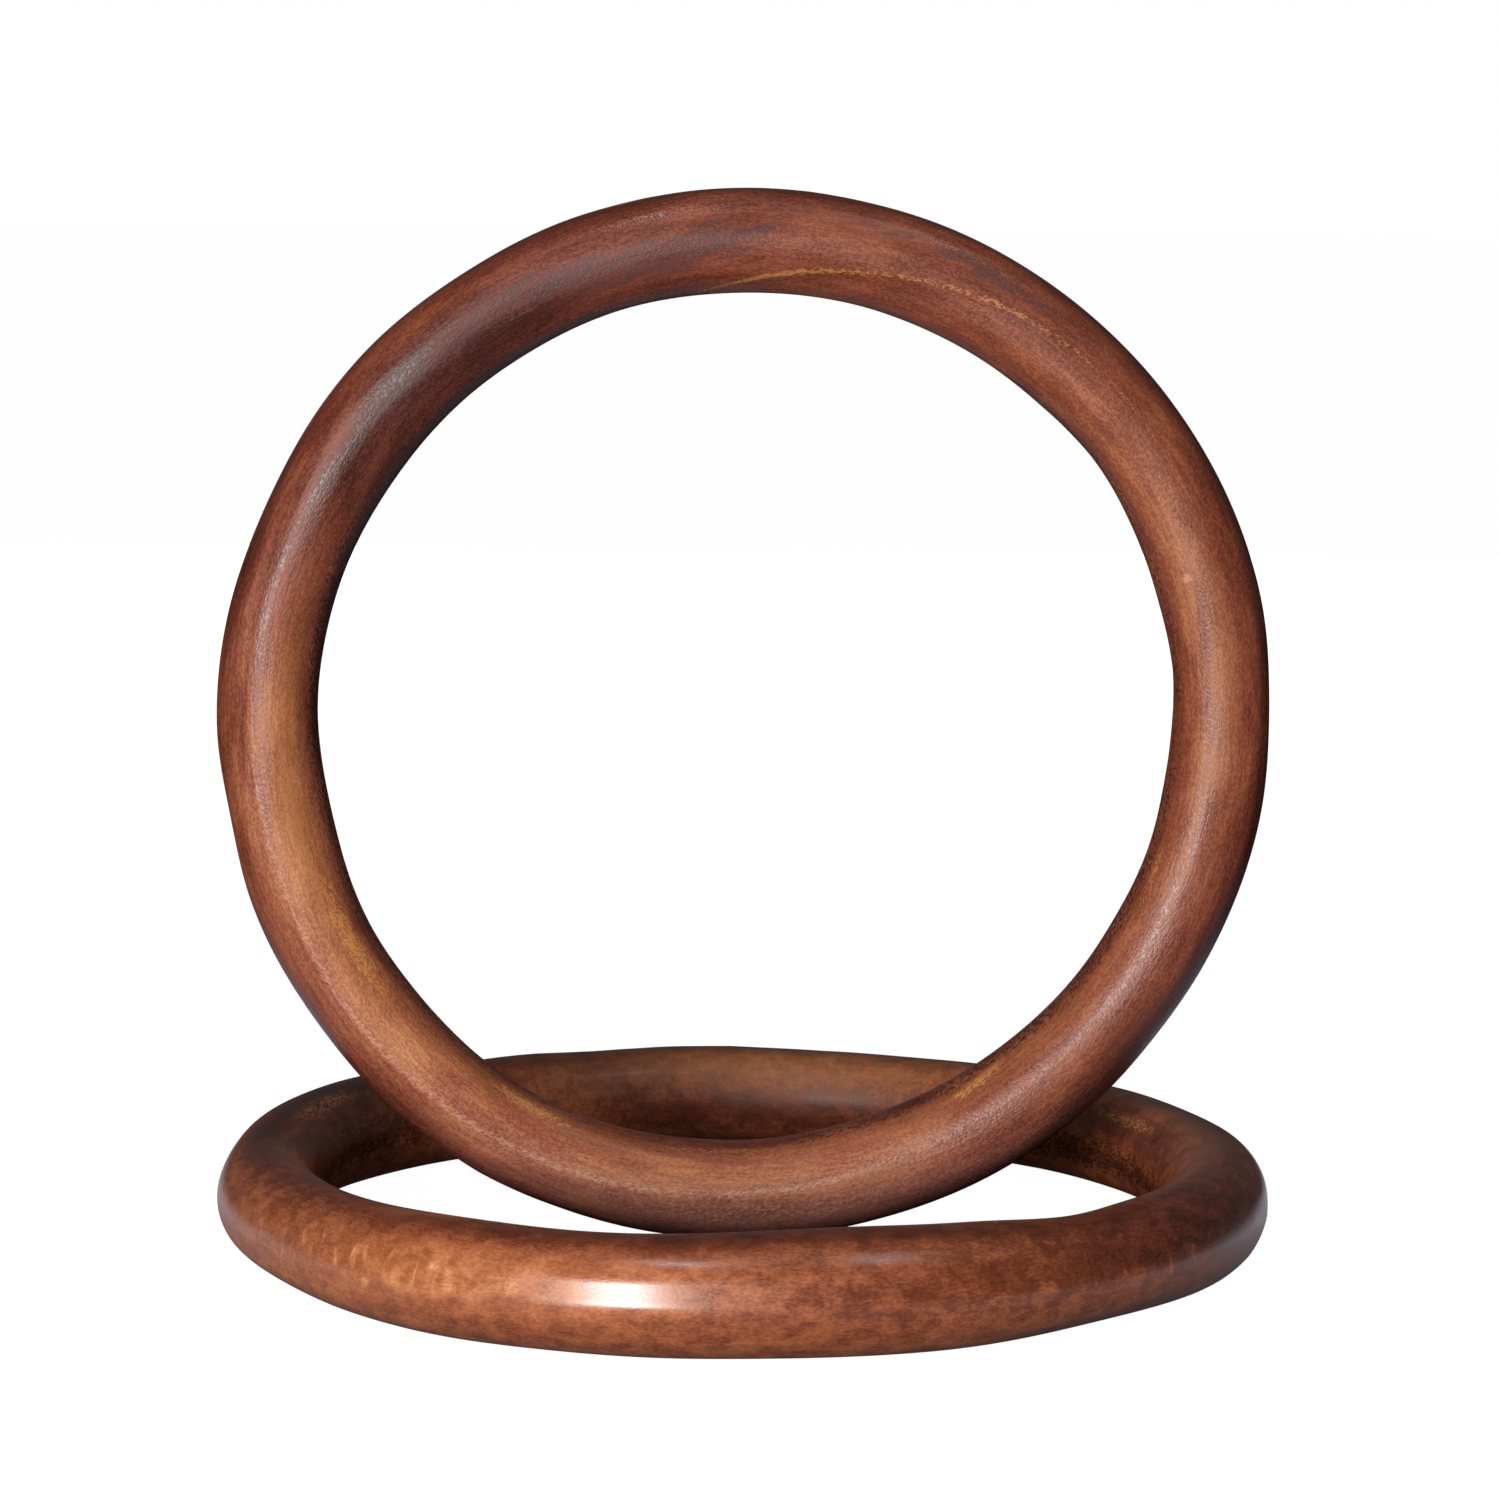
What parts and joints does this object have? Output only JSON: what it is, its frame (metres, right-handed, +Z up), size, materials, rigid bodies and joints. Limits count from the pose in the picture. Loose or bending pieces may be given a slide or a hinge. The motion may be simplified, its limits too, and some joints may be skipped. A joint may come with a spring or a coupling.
{
  "type": "gymnastics rings",
  "caption": "Plain wooden gymnastics rings: round hardwood bars closed into hoops and finished by hand, posed with one flat on the floor and its mate upright on edge inside it.",
  "frame": {"origin": "on the floor, at the centre of the ring that lies flat, and under the middle of the ring that stands", "axes": "+Z up, the lying ring's axis; +Y to the back, the standing ring's axis; +X to the right along the standing ring's plane"},
  "size_m": [0.2625, 0.2635, 0.2622],
  "materials": {
    "glossy_wood": "orange-brown stained hardwood under a glossy clear coat, curly figure",
    "satin_wood": "dark red-brown stained hardwood, satin, rubbed through to pale gold along the inner edges"
  },
  "bodies": {
    "lying_ring": {"lying_ring": "glossy_wood"},
    "standing_ring": {"standing_ring": "satin_wood"}
  },
  "joints": [
    {"name": "lift_off", "type": "slide", "parent": "lying_ring", "child": "standing_ring", "axis": [0, 0, 1], "range_m": [0, 0.06]}
  ]
}
